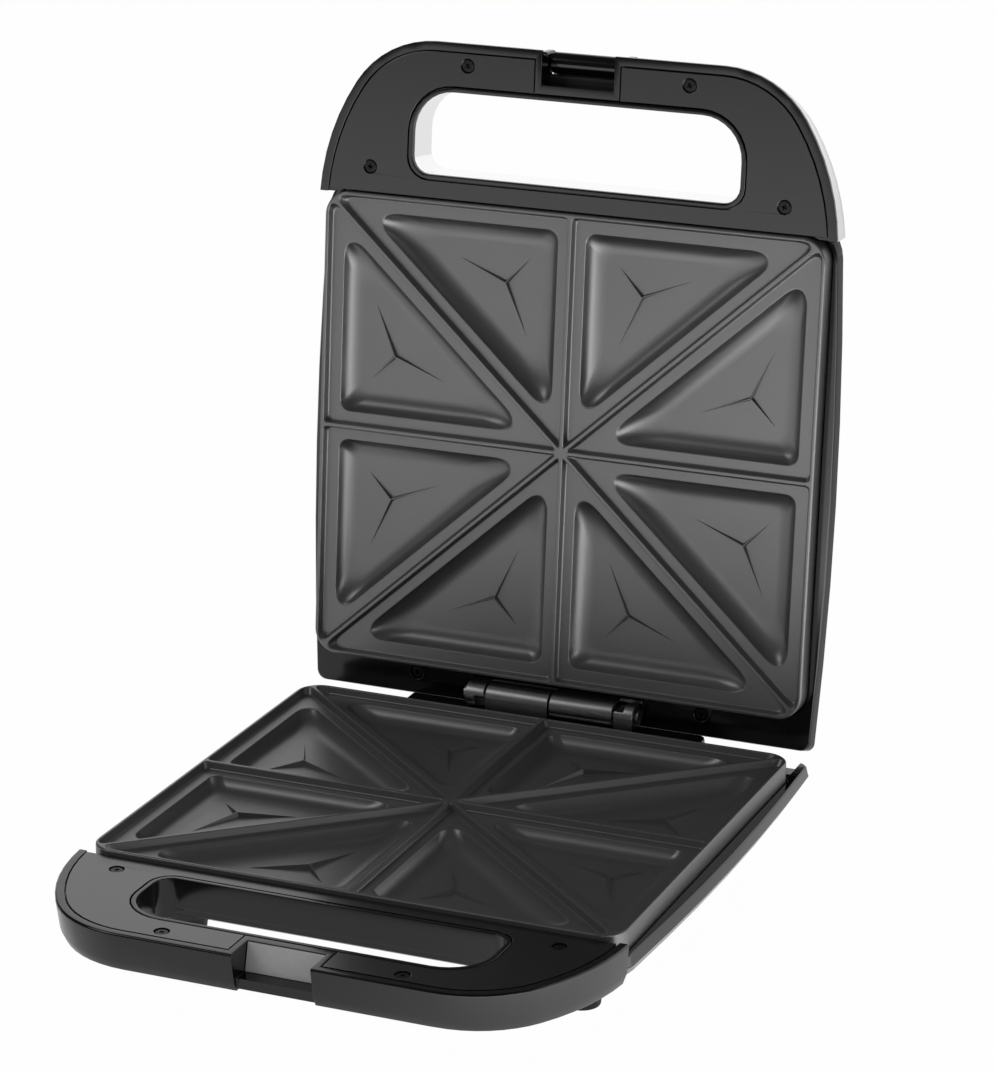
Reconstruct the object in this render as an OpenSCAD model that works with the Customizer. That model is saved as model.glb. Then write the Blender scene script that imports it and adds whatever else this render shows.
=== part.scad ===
// Sandwich toaster with two hinged cooking plates, eight pockets in each,
// a moulded carrying handle in both halves and a swing latch on the lid.
// Millimetres, +Z up. The origin is on the table, under the middle of the
// open toaster. X runs along the hinge and the handle is towards -Y. The
// lid stands open on its stop.

/* [Stance] */
// Gap between the two plate rims when the lid is shut
shut_gap = 1; // [0.8:0.1:1.6]
// Angle from shut to the open stop
open_angle = 94.28; // [90:0.01:98]

/* [Cooking plates] */
// Width of a plate, along the hinge
plate_w = 250; // [246:0.5:251]
// Depth of a plate
plate_d = 228.14; // [226:0.02:229]
// Corner radius of a plate
plate_r = 12; // [8:0.5:14]
// Height of the rim and the ribs above the flats
rib_h = 3.5; // [2.5:0.1:4]
// Width of the flat top of a rib or of the rim
rib_top = 1.8; // [1.4:0.1:2.4]
// Run of a rib's sloping flank
rib_slope = 1.6; // [1:0.1:2]
// Depth of a pocket below the flats
pocket_depth = 8.5; // [6:0.1:9]
// Corner radius of a pocket at its mouth
pocket_r = 6.8; // [6.2:0.1:7.4]
// Run of a pocket's curved side, mouth to floor
pocket_cove = 5.8; // [4:0.1:6]
// Land from the plate's edge to a pocket's mouth
rim_land = 9; // [8:0.1:10]
// Land from a rib's middle to a pocket's mouth
rib_land = 7; // [6.4:0.1:8]
// Thickness of the cast plate
plate_t = 2.6; // [2:0.1:2.8]
// Depth of the skirt round a plate
skirt_h = 13; // [11:0.5:14]

/* [Housings] */
// Drop from the plate rim to the ledge of the housing
ledge_drop = 9.5; // [9:0.1:11]
// Overhang of the housing past a plate at its bowed side
side_out = 6.2; // [5.8:0.1:8]
// Radius of the bowed side
bow_r = 1900; // [1500:50:2400]
// Place of the widest point along the depth
bow_y = 10; // [0:1:20]
// Overhang of the housing behind a plate
back_out = 16.93; // [16.5:0.1:19]
// Overhang of the housing before a plate, under the handle
front_out = 7.43; // [7:0.1:8.4]
// Radius of the back corners
back_r = 5; // [3:0.5:8]
// Radius of the front corners
front_r = 20; // [16:0.5:24]
// Wall of the mouldings
wall = 2.6; // [2:0.1:3]
// Depth of the lower housing below the rim
base_depth = 40; // [39:0.5:42]
// Depth of the lid above its rim
lid_depth = 47; // [46:0.5:50]
// Run of the slope under the lower housing's front
nose_run = 18; // [12:0.5:20]
// Step down of the lower housing's back edge
back_step = 4; // [3:0.1:5]
// Sheet of the lid's metal cover
cover_t = 1; // [0.8:0.1:1.2]

/* [Handles] */
// Drop from the plate rim to the handle's face
handle_drop = 2.16; // [2:0.02:2.6]
// Reach of the handle before the plates
handle_reach = 74.43; // [73:0.1:76]
// Radius of the handle's front corners
corner_r = 48; // [44:0.5:52]
// Radius of the handle's sides
flank_r = 110; // [100:1:120]
// Turn from the front to where the corner meets the side
corner_turn = 57; // [52:0.5:62]
// Corner arc's centre in from a plate's side
corner_in = 53.8; // [53:0.1:56]
// Thickness of the lower handle
grip_h = 18.5; // [17:0.1:20]
// Rim left round the inset face
face_rim = 4.1; // [3.6:0.1:4.6]
// Joint line round the inset face
face_gap = 0.6; // [0.4:0.05:0.8]
// Thickness of the inset face
face_t = 1.6; // [1.4:0.1:2]
// Material from a plate's side to the side of the finger hole
hole_side = 43.5; // [41:0.5:47]
// Bridge between a plate and the finger hole
bridge_w = 11.63; // [11.4:0.1:13]
// Width of the grip bar before the finger hole
bar_w = 23.2; // [22:0.1:25]
// Depth of the wall behind the lower finger hole
hole_lip = 14; // [12:0.5:15]
// Radius of the hole's front corners
hole_r1 = 20; // [14:0.5:20]
// Radius of the hole's back corners
hole_r2 = 8; // [6:0.5:12]
// Wall round the finger hole
hole_wall = 2.3; // [2:0.1:2.6]

/* [Hinge and latch] */
// Hinge line behind the plates
hinge_out = 9.93; // [9.6:0.1:10.3]
// Hinge line above the lower plate's rim
hinge_z = 3.48; // [3.2:0.02:3.8]
// Radius of the rolled barrels
barrel_r = 6.1; // [5.6:0.1:6.3]
// Radius of the hinge pin
pin_r = 2; // [1.6:0.1:2.4]
// Sheet of the hinge leaves
leaf_t = 1.6; // [1.2:0.1:2]
// Half length of the whole row of barrels
hinge_x = 43; // [40:0.5:46]
// Length of the short outer barrels
knuckle = 9.5; // [8:0.5:12]
// Half width of the latch recess
latch_x = 18; // [17:0.1:19]
// Thickness of the latch arm
latch_t = 2.4; // [2:0.1:2.8]
// Radius of the latch's rolled top
latch_r = 5; // [4.4:0.1:5.2]
// Radius of the latch pin
latch_pin_r = 1.5; // [1.2:0.1:1.8]
// Turn of the folded latch from hooked
latch_turn = 192; // [186:1:200]

/* [Feet and fixings] */
// Height of a foot
foot_h = 10; // [8:0.5:12]
// Radius of a foot on the table
foot_r = 8.6; // [7.5:0.1:9.4]
// Radius of a foot at the housing
foot_top_r = 9.8; // [9:0.1:10.4]
// Feet in from a plate's sides
foot_in = 30.5; // [30:0.5:36]
// Screw head radius
head_r = 3; // [2.6:0.1:3.2]
// Screw shank radius
shank_r = 1.5; // [1.2:0.1:1.7]

/* [Hidden] */
$fn = 48;

eps = 0.02;
// height of the lower plate's rim above the table
rim_h = base_depth + foot_h;
// gap at a seat between two pieces of the same body
seat = 0.1;
// running clearance of the hinge pin and the latch pin
run = 0.06;
// gap between a plate's skirt and the housing round it
skirt_gap = 0.6;

hx = plate_w/2;
hy = plate_d/2;
side_x = hx + side_out;
back_y = hy + back_out;
front_y = -hy - front_out;
handle_y = hy + handle_reach;
corner_x = hx - corner_in;
hole_x = hx - hole_side;
hole_back = hy + bridge_w;
hole_front = handle_y - bar_w;
hinge_y = hy + hinge_out;
handle_back = -(hy - 1);
// centre of the corner arc and of the side arc of the handle
corner_c = [corner_x, -handle_y + corner_r];
flank_c = corner_c - (flank_r - corner_r)*[sin(corner_turn), -cos(corner_turn)];

// clearance of a shank in a through hole and in a pilot hole
bore_play = 0.2;
pilot_play = 0.08;
head_t = 1.5;
face_screw_l = 9;
hinge_screw_l = 8;
boss_screw_l = 12;
cover_screw_l = 9;
// screws through the inset face, one side; the other mirrors it: in from
// the plate's side or the corner's centre, and back from the handle's front
face_screw_in = [21.8, 16.3];
face_screw_back = [61.8, 10.3];
face_screws = [[hx - face_screw_in[0], face_screw_back[0] - handle_y],
    [corner_x - face_screw_in[1], face_screw_back[1] - handle_y]];
// drop of the screw seat under the handle's face
head_seat = 1.9;
boss_r = head_r + 2;

// depth of the ledge's own wall
ledge_t = wall;
corner_growth = 0.6;
// groove in a pocket's floor: arms to the sharp, the blunter and the
// square corner, width and depth where they meet
crease_l = [25, 20, 16];
crease_w = 1.5;
crease_depth = 0.9;
deck_z = -rib_h - plate_t;
bowl_z = -rib_h - pocket_depth - plate_t;
tube_r = 3.2;
tube_z = bowl_z - seat - tube_r;
shield_z = tube_z - tube_r - 2.4;
shield_t = 0.8;
// the shield ends this far inside the plate's outline
shield_in = 10;
posts = [[0, hy/2], [0, -hy/2], [hx/2, 0], [-hx/2, 0]];
heater_x = hx - 45;
heater_y = hy - 40;
post_r = 3.8;

// sections of the lower housing: inset from the ledge's outline, height
// and how far the front slides back
bottom_in = 23;
base_skin = [[0.6, -ledge_drop, 0], [0, -ledge_drop - 0.8, 0],
    [-0.8, -ledge_drop - 5.5, 0], [2.2, -ledge_drop - 10.5, 0],
    [9, -ledge_drop - 18.5, 0.3*nose_run], [16.5, 4.5 - base_depth, 0.73*nose_run],
    [21.5, 1 - base_depth, 0.94*nose_run], [bottom_in, -base_depth, nose_run]];
cavity_skin = concat([[0, -ledge_drop - wall, 0]], [for (i = [2 : 7]) base_skin[i]],
    [[bottom_in, -base_depth - 1, nose_run]]);
skin_t = 1.2*wall;
cover_in = bottom_in + skin_t + 0.2;
floor_t = 2.4;
// lowered part of the back edge and the block that carries the hinge
step_x = side_x - 7.7;
block_x = hx - 49;
block_top = hinge_z - barrel_r - 0.4;
block_y = back_y - 1.5;

// sections of the lid's frame, its metal cover and the handle blocks
frame_skin = [[0.6, -ledge_drop], [0, -ledge_drop - 0.8], [-0.9, -ledge_drop - 5],
    [0.2, -ledge_drop - 6.8]];
roof_skin = [[1.4, -ledge_drop - 7], [2.2, -22], [6, -34], [14, 4.5 - lid_depth],
    [24, 0.8 - lid_depth], [30, -lid_depth]];
frame_t = 5.4;
tongue_t = 1.8;
// a handle's section has a third value, its slide back from the front
grip_skin = [[0.6, -handle_drop, 0], [0, -handle_drop - 0.8, 0],
    [0.6, -handle_drop - grip_h + 5, 2], [2.2, -handle_drop - grip_h, 3.2]];
lid_grip_h = 15;
hood_top = -handle_drop - 2.2;
hood_z = -handle_drop - 22.24;
// slack between the cover and the mouldings inside it
hood_play = 0.5;
hood_skin = [[0, hood_top, 0], [0, hood_top - 5, 1.3], [0.5, hood_top - 13, 3.6],
    [3, hood_z + 2.2, 5.4], [7.5, hood_z, 7]];
lid_grip_skin = concat([[cover_t + hood_play, hood_top + 1, 0]], [for (i = [1, 2])
    [hood_skin[i][0] + cover_t + hood_play, hood_skin[i][1] + cover_t, hood_skin[i][2]]]);
lid_bosses = [[hx - 51.6, hinge_y - 4.2]];
boss_up = 1.4;
lamp_x = [-12, 12];
lamp_y = 36 - hy;
lamp_r = 3.5;

// fixings of the bottom cover: place and the side its rib runs to
cover_in_x = [65, 25];
cover_in_y = [48, 20];
cover_screws = [[hx - cover_in_x[0], cover_in_y[0] - hy, 0, -1],
    [hx - cover_in_x[0], hy - cover_in_y[1], 0, 1], [hx - cover_in_x[1], bow_y, 1, 0]];
foot_x = hx - foot_in;
feet_y = [36 - hy, hy - 24];
stem_r = 4;

// bushing of the mains lead, its place across and up, and the terminals
gland_x = 50 - hx;
gland_z = 18 - base_depth;
gland_r = 5;
block_size = [28, 14, 10];
block_at = [gland_x, hy - 52];

// hinge leaves: plane of the sheet, its lower edge and its screws
leaf_y = hinge_y - barrel_r + 0.06;
leaf_low = -26;
leaf_screw_x = 26;
leaf_screw_z = leaf_low + 6;
pad_y = leaf_y + leaf_t + seat;
// gap between two rolls, and the far end of each long roll
roll_gap = 1;
inner_l = -hinge_x + knuckle + roll_gap;

// the latch's line on the lid, in the lid's own frame
latch_y = -handle_y + 7;
latch_z = -handle_drop - 14.84;
latch_w = 2*latch_x - 1.2;
cheek_t = 5;
// lower bar that the latch hooks under
bar_top = -handle_drop - 12.8;
bar_bottom = -handle_drop - 17.4;
bar_y = -handle_y + 5.5;
recess_y = -handle_y + 16;
recess_foot = -handle_y + 13.1;
hook_gap = 0.4;
hook_lip = 3;
arm_y = bar_y - hook_gap - latch_y;
latch_drop = shut_gap - latch_z - bar_bottom + hook_gap;
notch_y = -handle_y + 20.3;
notch_x = latch_x + 2.9;

// place of a point (y, z) of the shut lid once the lid is open
function turned(p, a) = [p[0]*cos(a) - p[1]*sin(a), p[0]*sin(a) + p[1]*cos(a)];

hinge_line = [hinge_y, hinge_z];
latch_tip = [latch_y, shut_gap - latch_z]
    + turned([arm_y - latch_t - hook_lip + latch_t + 8, -latch_drop - latch_t], -latch_turn);
// middle of the footprint, with the lid open, behind the middle of the plates
mid_y = ((hinge_line + turned(latch_tip - hinge_line, -open_angle))[0] - handle_y)/2;

// ---------- plan outlines ----------

function arc(c, r, a, b, n, from = 0) =
    [for (i = [from : n]) c + r*[cos(a + (b - a)*i/n), sin(a + (b - a)*i/n)]];

function both_sides(right) = concat(right,
    [for (i = [len(right) - 1 : -1 : 0]) [-right[i][0], right[i][1]]]);

// housing, inset by d and its front slid back by s: from the front wall
// round the right side to the back; the corners grow rounder inwards
function body_pts(d, s = 0) =
    let (bow = [side_x - bow_r, bow_y],
         fr = front_r + corner_growth*d,
         br = back_r + corner_growth*d,
         fa = asin((front_y + d + s + fr - bow_y)/(bow_r - d - fr)),
         ba = asin((back_y - d - br - bow_y)/(bow_r - d - br)),
         fc = bow + (bow_r - d - fr)*[cos(fa), sin(fa)],
         bc = bow + (bow_r - d - br)*[cos(ba), sin(ba)])
    both_sides(concat(arc(fc, fr, -90, fa, 7),
        arc(bow, bow_r - d, fa, ba, 6, 1),
        arc(bc, br, ba, 90, 7, 1)));

// handle, inset by d: from its back round the right side to the front
// and slid back by s, which leaves the back where it is
function handle_pts(d, back = handle_back, s = 0) =
    let (f = flank_c + [0, s],
         a = asin(min(0, (back - f[1])/(flank_r - d))))
    both_sides(concat([[f[0] + (flank_r - d)*cos(a), back]],
        arc(f, flank_r - d, a, corner_turn - 90, 6, 1),
        arc(corner_c + [0, s], corner_r - d, corner_turn - 90, -90, 8, 1)));

// finger hole, grown by d
function hole_pts(d) =
    both_sides(concat(
        arc([hole_x - hole_r2, -hole_back - hole_r2], hole_r2 + d, 90, 0, 5),
        arc([hole_x - hole_r1, -hole_front + hole_r1], hole_r1 + d, 0, -90, 8)));

module slab(pts, z0, z1) {
    translate([0, 0, min(z0, z1)])
        linear_extrude(abs(z1 - z0))
            polygon(pts);
}

// smooth skin through a stack of inset sections of the housing
module body_stack(skin, grow = 0, up = 0) {
    hull()
        for (s = skin)
            translate([0, 0, s[1] + up])
                linear_extrude(eps)
                    polygon(body_pts(s[0] + grow, len(s) > 2 ? s[2] : 0));
}

module handle_stack(skin, grow = 0, up = 0, back = handle_back) {
    hull()
        for (s = skin)
            translate([0, 0, s[1] + up])
                linear_extrude(eps)
                    polygon(handle_pts(s[0] + grow, back, s[2]));
}

module plate_outline(grow = 0) {
    x = hx + grow - plate_r;
    y = hy + grow - plate_r;
    square([2*x, 2*(y + plate_r)], center = true);
    square([2*(x + plate_r), 2*y], center = true);
    for (sx = [-1, 1], sy = [-1, 1])
        translate([sx*x, sy*y])
            circle(plate_r);
}

// ---------- places ----------

// both halves are drawn alike, rim face at z = 0 and the inside below it
module at_base() {
    translate([0, -mid_y, rim_h])
        children();
}

module at_lid() {
    translate([0, hinge_y - mid_y, rim_h + hinge_z])
        rotate([-open_angle, 0, 0])
            translate([0, -hinge_y, shut_gap - hinge_z])
                mirror([0, 0, 1])
                    children();
}

module both_x() {
    children();
    mirror([1, 0, 0])
        children();
}

module at_face_screws() {
    both_x()
        for (p = face_screws)
            translate([p[0], p[1], -handle_drop])
                children();
}

// ---------- shapes used twice ----------

// point at distances a and b inside two edges of a triangle that meet in p
function inner_pt(p, u, v, a, b) =
    let (s = u[0]*v[1] - u[1]*v[0])
    p + (b*u + a*v)/abs(s);

function unit(v) = v/norm(v);

// the two cells of one quarter: corner points and the inset of each side
function cell(i) = i == 0
    ? [[0, 0], [hx, hy], [0, hy]]
    : [[0, 0], [hx, 0], [hx, hy]];

function inset_cell(i, rib, rim) =
    let (c = cell(i),
         d = i == 0 ? [rib, rim, rib] : [rib, rim, rib])
    [for (k = [0 : 2])
        let (prev = (k + 2) % 3, next = (k + 1) % 3)
        inner_pt(c[k], unit(c[next] - c[k]), unit(c[prev] - c[k]), d[k], d[prev])];

// one pocket as a hull over three domes; metal is the bowl's own thickness
module pocket(i, metal = 0) {
    p = inset_cell(i, rib_land + pocket_r, rim_land + pocket_r);
    hull()
        for (c = p, k = [[0, 0], [0.2, 0.45], [0.55, 0.8], [1, 1]])
            translate([c[0], c[1], -rib_h - pocket_depth*k[1] - metal])
                cylinder(r = pocket_r - pocket_cove*k[0] + metal,
                    h = k[1] > 0 ? eps : metal > 0 ? 0.5 : rib_h + 1, $fn = 28);
}

// the flat between the ribs of one cell, with drafted flanks; it stops at
// the rim, which follows the plate's round corner
module flat(i) {
    intersection() {
        hull() {
            slab(inset_cell(i, rib_top/2, rib_top), -eps, 1);
            slab(inset_cell(i, rib_top/2 + rib_slope, rib_top + rib_slope),
                -rib_h, -rib_h + eps);
        }
        translate([0, 0, -rib_h - 1])
            linear_extrude(rib_h + 3)
                plate_outline(-rib_top);
    }
}

// middle of the circle that touches all three sides of a cell
function incentre(t) =
    let (w = [norm(t[1] - t[2]), norm(t[2] - t[0]), norm(t[0] - t[1])])
    (w[0]*t[0] + w[1]*t[1] + w[2]*t[2])/(w[0] + w[1] + w[2]);

// three-armed groove in a pocket's floor, deepest where its arms meet
module crease(i) {
    c = cell(i);
    m = incentre(c);
    arms = i == 0 ? [crease_l[1], crease_l[0], crease_l[2]]
        : [crease_l[0], crease_l[2], crease_l[1]];
    u = [for (p = c) unit(p - m)];
    waist = 1.1*crease_w;
    star = [for (k = [0 : 2], e = [0, 1])
        e == 0 ? arms[k]*u[k] : -waist*u[(k + 2) % 3]];
    translate([m[0], m[1], eps - rib_h - pocket_depth])
        mirror([0, 0, 1])
            linear_extrude(crease_depth, scale = 0.04)
                polygon(star);
}

module quarters() {
    for (mx = [0, 1], my = [0, 1])
        mirror([mx, 0, 0])
            mirror([0, my, 0])
                children();
}

module cooking_plate() {
    difference() {
        union() {
            difference() {
                translate([0, 0, -skirt_h])
                    linear_extrude(skirt_h)
                        plate_outline();
                translate([0, 0, -skirt_h - 1])
                    linear_extrude(skirt_h + 1 + deck_z)
                        plate_outline(-plate_t);
            }
            quarters() {
                pocket(0, plate_t);
                pocket(1, plate_t);
            }
        }
        quarters() {
            flat(0);
            flat(1);
            pocket(0);
            pocket(1);
            crease(0);
            crease(1);
        }
    }
}

// tubular element bent to a loop, its two pins meeting at the back
module heater() {
    x = heater_x;
    y = heater_y;
    bend = 20;
    tail = 16;
    color("silver")
        translate([0, 0, tube_z]) {
            quarters()
                translate([x - bend, y - bend, 0])
                    rotate_extrude(angle = 90)
                        translate([bend, 0])
                            circle(tube_r);
            both_x() {
                translate([x, bend - y, 0])
                    rotate([-90, 0, 0])
                        cylinder(r = tube_r, h = 2*(y - bend));
                translate([tail, y, 0])
                    rotate([0, 90, 0])
                        cylinder(r = tube_r, h = x - bend - tail);
                translate([tail - 9, y, 0])
                    rotate([0, 90, 0])
                        cylinder(r = 1.2, h = 9 + tube_r);
            }
            translate([bend - x, -y, 0])
                rotate([0, 90, 0])
                    cylinder(r = tube_r, h = 2*(x - bend));
        }
}

// heat shield on the posts; a wiring window clears the terminals
module shield(window = false) {
    color("gainsboro")
        difference() {
            translate([0, 0, shield_z - shield_t])
                linear_extrude(shield_t)
                    plate_outline(-shield_in);
            for (p = posts)
                translate([p[0], p[1], shield_z - 2])
                    cylinder(r = post_r + bore_play, h = 4);
            if (window)
                translate([block_at[0], block_at[1], shield_z])
                    cube([block_size[0] + 2, block_size[1] + 2, 4], center = true);
        }
}

// four posts between a plate and its housing, with collars for the shield
module plate_posts(end_z) {
    color("silver")
        for (p = posts)
            translate([p[0], p[1], 0]) {
                translate([0, 0, end_z])
                    cylinder(r = post_r, h = deck_z - seat - end_z);
                translate([0, 0, shield_z - shield_t - seat - 1.5])
                    cylinder(r = post_r + 2.2, h = 1.5);
            }
}

// half of a finger hole's and a latch notch's plan, cut from the inset face
module face_plan(rim, edge, back) {
    difference() {
        polygon(handle_pts(rim, back));
        polygon(hole_pts(edge));
        translate([-notch_x - edge + hole_wall, -handle_y - 20])
            square([2*(notch_x + edge - hole_wall), 20 + handle_y + notch_y + edge - hole_wall]);
    }
}

module inset_face() {
    color([0.09, 0.09, 0.09])
        difference() {
            union() {
                translate([0, 0, -handle_drop - face_t])
                    linear_extrude(face_t)
                        face_plan(face_rim + face_gap, hole_wall + face_gap, -hy - skirt_gap);
                at_face_screws()
                    translate([0, 0, -head_seat - 1.4])
                        cylinder(r = boss_r, h = 2.4);
            }
            at_face_screws() {
                translate([0, 0, -head_seat])
                    cylinder(r = head_r + 0.4, h = head_seat + 1);
                translate([0, 0, -head_seat - 3])
                    cylinder(r = shank_r + bore_play, h = 4);
            }
        }
}

module screw(length) {
    translate([0, 0, 0.05])
        cylinder(r = head_r, h = head_t);
    translate([0, 0, -length])
        cylinder(r = shank_r, h = length + 0.1);
}

module face_screw_set() {
    color([0.15, 0.15, 0.15])
        at_face_screws()
            translate([0, 0, -head_seat])
                screw(face_screw_l);
}

// hollow of a handle tray under the inset face, and the seat of that face
module tray(depth) {
    translate([0, 0, -handle_drop - face_t - seat])
        linear_extrude(face_t + seat + 1)
            face_plan(face_rim, hole_wall, handle_back + 1);
    difference() {
        translate([0, 0, -handle_drop - depth])
            linear_extrude(depth - face_t)
                face_plan(face_rim + 2.2, hole_wall + 0.01, -hole_back - 1);
        translate([0, 0, -30])
            linear_extrude(40)
                translate([-notch_x - 3, -handle_y - 1])
                    square([2*notch_x + 6, 1 + handle_y + notch_y + 3]);
        at_face_screws()
            translate([0, 0, -30])
                cylinder(r = boss_r + 1.2, h = 30 - head_seat - 1.4);
    }
    at_face_screws() {
        translate([0, 0, -head_seat - 1.4 - seat])
            cylinder(r = boss_r + 0.2, h = 3);
        translate([0, 0, -head_seat - face_screw_l - 1])
            cylinder(r = shank_r + pilot_play, h = face_screw_l + 3);
    }
}

module finger_hole(depth) {
    slab(hole_pts(0), -depth, 5);
}

// hinge leaf: rolled barrels on the pin and a flat screwed to the housing;
// notch is the corner and size of the cut beside the short roll's stop
module hinge_leaf(za, rolls, notch_at, notch) {
    top = za - barrel_r - 0.8;
    color([0.35, 0.35, 0.37])
        difference() {
            union() {
                for (r = rolls) {
                    translate([r[0], hinge_y, za])
                        rotate([0, 90, 0])
                            cylinder(r = barrel_r, h = r[1] - r[0]);
                    translate([r[0], leaf_y, top - 1])
                        cube([r[1] - r[0], leaf_t, za - top + 1]);
                }
                translate([-hinge_x, leaf_y, leaf_low])
                    cube([2*hinge_x, leaf_t, top - leaf_low]);
            }
            translate([-hinge_x - 1, hinge_y, za])
                rotate([0, 90, 0])
                    cylinder(r = pin_r + run, h = 2*hinge_x + 2);
            translate(notch_at)
                cube(notch);
            both_x()
                translate([leaf_screw_x, leaf_y - 1, leaf_screw_z])
                    rotate([-90, 0, 0])
                        cylinder(r = shank_r + bore_play, h = leaf_t + 2);
        }
}

module hinge_screws() {
    color([0.6, 0.6, 0.6])
        both_x()
            translate([leaf_screw_x, leaf_y, leaf_screw_z])
                rotate([90, 0, 0])
                    screw(hinge_screw_l);
}

// block behind a leaf, trimmed by the housing's skin, and its pilot holes
module hinge_pad() {
    translate([-hinge_x - 3, pad_y, leaf_low - 1])
        cube([2*hinge_x + 6, 20, -ledge_drop - leaf_low]);
}

module hinge_pilots() {
    both_x()
        translate([leaf_screw_x, leaf_y, leaf_screw_z])
            rotate([-90, 0, 0])
                cylinder(r = shank_r + pilot_play, h = hinge_screw_l + 0.5);
}

module leaf_slot() {
    translate([-hinge_x - 0.5, leaf_y - 0.4, -ledge_drop - back_step - wall - 1])
        cube([2*hinge_x + 1, leaf_t + 0.4 + seat, 20]);
}

// ---------- lower half ----------

module latch_recess() {
    translate([-latch_x, 0, 0])
        rotate([90, 0, 90])
            linear_extrude(2*latch_x) {
                polygon([[-handle_y - 5, 5], [recess_y, 5],
                    [recess_y, -handle_drop - 1], [recess_foot, bar_top],
                    [bar_y, bar_top], [bar_y, bar_bottom],
                    [recess_foot, bar_bottom], [recess_foot, -30], [-handle_y - 5, -30]]);
            }
}

// upper outline of the block behind the lower leaf, seen from the front
function block_pts() =
    let (r = 2.5)
    both_sides(concat([[block_x, -ledge_drop - back_step - 1]],
        arc([block_x - r, block_top - r], r, 0, 90, 6)));

module cover_bosses() {
    both_x()
        for (c = cover_screws)
            translate([c[0], c[1], floor_t + seat - base_depth]) {
                cylinder(r = head_r + 1.5, h = cover_screw_l + 1);
                translate([15*c[2], 15*c[3], 4.5])
                    cube([3 + 27*abs(c[2]), 3 + 27*abs(c[3]), 9], center = true);
            }
}

module gland_socket(r, y0, y1) {
    translate([gland_x, y0, gland_z])
        rotate([-90, 0, 0])
            cylinder(r = r, h = y1 - y0);
}

// handle block with a shallow wall behind the finger hole
module lower_handle() {
    difference() {
        handle_stack(grip_skin);
        translate([-hole_x - 2, -hole_back - 0.3, -30])
            cube([2*hole_x + 4, hole_back + 0.3 + front_y, 30 - handle_drop - hole_lip]);
    }
}

module base_shell() {
    color([0.05, 0.05, 0.05])
        at_base()
            difference() {
                union() {
                    difference() {
                        body_stack(base_skin);
                        body_stack(cavity_skin, skin_t);
                    }
                    intersection() {
                        body_stack(base_skin);
                        union() {
                            hinge_pad();
                            cover_bosses();
                            gland_socket(gland_r + 4, back_y - 15, back_y);
                            translate([-step_x - 2, hy, -ledge_drop - back_step - wall])
                                cube([2*step_x + 4, 40, back_step + wall]);
                        }
                    }
                    translate([0, block_y, 0])
                        rotate([90, 0, 0])
                            linear_extrude(block_y - pad_y)
                                polygon(block_pts());
                    gland_socket(gland_r + 4, back_y - 13, back_y + 1);
                    both_x()
                        translate([foot_x, feet_y[0], -base_depth])
                            cylinder(r = foot_top_r + 1.2, h = 9);
                    lower_handle();
                }
                translate([0, 0, -ledge_drop - ledge_t - 1])
                    linear_extrude(30)
                        plate_outline(skirt_gap);
                translate([0, 0, -ledge_drop - back_step])
                    linear_extrude(30)
                        difference() {
                            translate([-step_x, hy])
                                square([2*step_x, 40]);
                            translate([-block_x, pad_y])
                                square([2*block_x, block_y - pad_y]);
                        }
                translate([-step_x, hy, -ledge_drop - back_step - wall - 1])
                    cube([2*step_x, skirt_gap, 20]);
                tray(grip_h - 2.6);
                finger_hole(30);
                latch_recess();
                leaf_slot();
                hinge_pilots();
                both_x() {
                    for (c = cover_screws)
                        translate([c[0], c[1], -base_depth])
                            cylinder(r = shank_r + pilot_play, h = floor_t + cover_screw_l + 1);
                    translate([foot_x, feet_y[0], -base_depth - 1])
                        cylinder(r = stem_r + 0.1, h = floor_t + 2);
                }
                gland_socket(gland_r + 0.1, back_y - 31, back_y + 10);
            }
}

module base_bottom_cover() {
    color([0.06, 0.06, 0.06])
        at_base()
            difference() {
                translate([0, 0, -base_depth])
                    linear_extrude(floor_t)
                        difference() {
                            polygon(body_pts(cover_in, nose_run));
                            for (x = [-35 : 10 : 35])
                                translate([x - 1.5, 20])
                                    square([3, 34]);
                            both_x()
                                translate([foot_x, feet_y[0]])
                                    circle(foot_top_r + 1.5);
                        }
                both_x() {
                    for (c = cover_screws)
                        translate([c[0], c[1], -base_depth - 1]) {
                            cylinder(r = shank_r + bore_play, h = floor_t + 2);
                            cylinder(r = head_r + 0.3, h = floor_t);
                        }
                    translate([foot_x, feet_y[1], -base_depth - 1])
                        cylinder(r = stem_r + 0.1, h = floor_t + 2);
                }
            }
}

module base_handle_plate() {
    at_base()
        inset_face();
}

module base_cooking_plate() {
    color([0.2, 0.2, 0.2])
        at_base()
            cooking_plate();
}

module base_heater() {
    at_base()
        heater();
}

module base_reflector() {
    at_base()
        shield(true);
}

module base_plate_posts() {
    at_base()
        plate_posts(floor_t + seat - base_depth);
}

// bimetal switch on the underside of the shield
module thermostat() {
    color("ivory")
        at_base()
            translate([35, -28, shield_z - shield_t - seat]) {
                translate([0, 0, -7])
                    cylinder(r = 8, h = 7);
                translate([-13, -3, -1.2])
                    cube([26, 6, 1.2]);
            }
}

module thermal_fuse() {
    color("white")
        at_base()
            translate([-35, -28, shield_z - shield_t - seat]) {
                translate([-8, 0, -2.2])
                    rotate([0, 90, 0])
                        cylinder(r = 2, h = 16);
                translate([-4, -4, -1])
                    cube([8, 8, 1]);
            }
}

module terminal_block() {
    color("white")
        at_base()
            translate([block_at[0], block_at[1], floor_t + seat - base_depth])
                difference() {
                    translate([-block_size[0]/2, -block_size[1]/2, 0])
                        cube(block_size);
                    for (x = [-8, 0, 8])
                        translate([x, -block_size[1], block_size[2]/2])
                            rotate([-90, 0, 0])
                                cylinder(r = 1.8, h = 2*block_size[1]);
                }
}

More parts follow.
